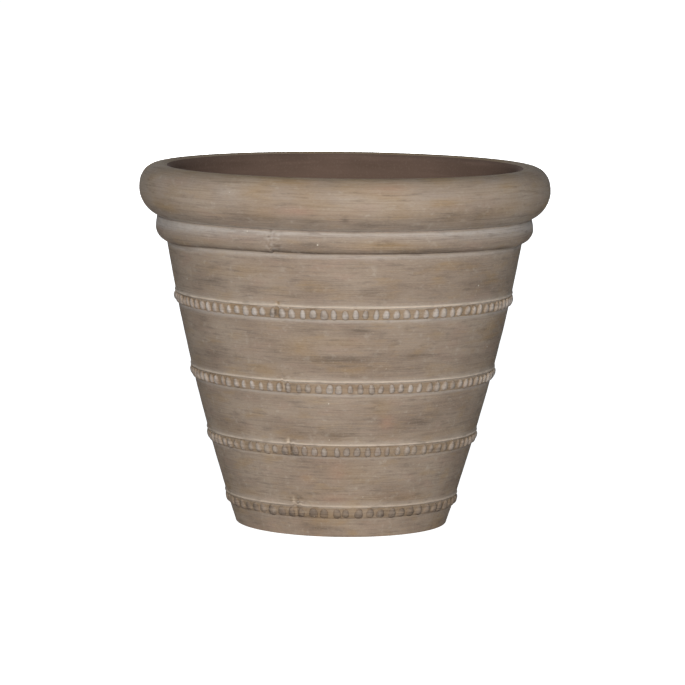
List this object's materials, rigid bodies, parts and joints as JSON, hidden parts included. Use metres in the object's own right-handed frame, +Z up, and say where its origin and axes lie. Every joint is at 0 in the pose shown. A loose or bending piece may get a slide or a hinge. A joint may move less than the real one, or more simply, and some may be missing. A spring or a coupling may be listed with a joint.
{
  "type": "flower pot",
  "caption": "Round clay floor planter with a tapered, slightly swelling wall, rolled rim, collar ring, beaded bands and a drain hole closed by a lift-out rubber plug.",
  "frame": {"origin": "centre of the foot ring on the ground", "axes": "+Z up along the pot's own axis, -Y towards the pictured front, +X to the right seen from the front"},
  "size_m": [0.508, 0.508, 0.4445],
  "materials": {
    "wall_clay": "unglazed fired clay with a rubbed-in pale wash, matte, brushed level round the pot",
    "rim_clay": "unglazed fired clay with a pale wash, matte, worn paler on its high lines",
    "band_clay": "unglazed fired clay, matte, pale on the lip and beads and ochre brown between them",
    "floor_clay": "bare unglazed fired clay, matte brown",
    "plug_rubber": "moulded black rubber, satin matte"
  },
  "bodies": {
    "pot": {"floor_slab": "floor_clay", "pot_wall": "wall_clay", "rolled_rim": "rim_clay", "collar_ring": "rim_clay", "bead_band_1": "band_clay", "bead_band_2": "band_clay", "bead_band_3": "band_clay", "bead_band_4": "band_clay"},
    "plug": {"drain_plug": "plug_rubber"}
  },
  "joints": [
    {"name": "plug_lift", "type": "slide", "parent": "pot", "child": "plug", "axis": [0, 0, 1], "range_m": [0, 0.45]}
  ]
}
